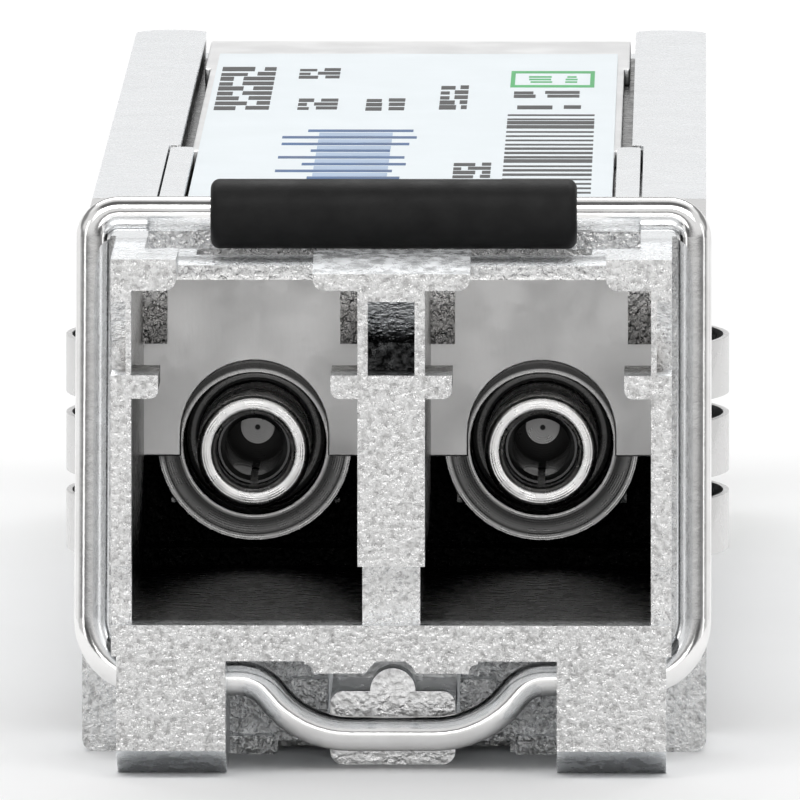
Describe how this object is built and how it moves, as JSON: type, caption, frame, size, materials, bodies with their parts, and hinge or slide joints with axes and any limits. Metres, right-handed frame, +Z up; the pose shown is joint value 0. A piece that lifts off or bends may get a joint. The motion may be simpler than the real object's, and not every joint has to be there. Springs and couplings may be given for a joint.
{
  "type": "optical transceiver module",
  "caption": "Pluggable optical transceiver with duplex fibre ports, metal housing, wire bail that drives a latch slider, and a circuit board edge at the rear.",
  "frame": {"origin": "centre of the bounding box at its lowest plane, under the middle of the module", "axes": "+Y from the front face with the ports towards the rear contacts, +Z up, +X to the right seen from the front"},
  "size_m": [0.0144, 0.0564, 0.0124],
  "materials": {
    "nickel_casting": "bright grainy die casting, nickel plated",
    "cover_steel": "satin",
    "label_film": "satin film",
    "spring_metal": "satin",
    "polished_wire": "polished",
    "black_sleeve": "matte",
    "slider_metal": "grainy satin",
    "grey_plate": "satin stamped sheet",
    "turned_steel": "turned",
    "sleeve_ceramic": "polished ceramic",
    "stub_ceramic": "polished ceramic",
    "gold_plate": "plated",
    "flex_film": "satin film",
    "board_laminate": "solder mask",
    "chip_epoxy": "moulded",
    "capacitor_ceramic": "sintered",
    "pad_silicone": "matte"
  },
  "bodies": {
    "module": {"upper_nose": "nickel_casting", "lower_housing": "nickel_casting", "top_cover": "cover_steel", "label": "label_film", "contact_collar": "spring_metal", "retainer_plate": "grey_plate", "transmit_receptacle": "turned_steel", "receive_receptacle": "turned_steel", "transmit_sleeve": "sleeve_ceramic", "receive_sleeve": "sleeve_ceramic", "transmit_stub": "stub_ceramic", "receive_stub": "stub_ceramic", "laser_can": "gold_plate", "photodiode_can": "gold_plate", "transmit_flex": "flex_film", "receive_flex": "flex_film", "circuit_board": "board_laminate", "edge_contacts": "gold_plate", "laser_driver": "chip_epoxy", "receiver_amplifier": "chip_epoxy", "controller": "chip_epoxy", "chip_capacitors": "capacitor_ceramic", "thermal_pad": "pad_silicone"},
    "bail": {"bail_wire": "polished_wire", "bail_sleeve": "black_sleeve"},
    "slider": {"latch_slider": "slider_metal"}
  },
  "joints": [
    {"name": "bail_swing", "type": "hinge", "parent": "module", "child": "bail", "pos_m": [0, -0.02595, 0.00193], "axis": [1, 0, 0], "range_deg": [0, 100]},
    {"name": "slider_travel", "type": "slide", "parent": "module", "child": "slider", "axis": [0, 1, 0], "range_m": [0, 0.0012]}
  ],
  "couplings": [
    {"joint": "slider_travel", "follows": "bail_swing", "m_per_rad": 0.00067}
  ]
}
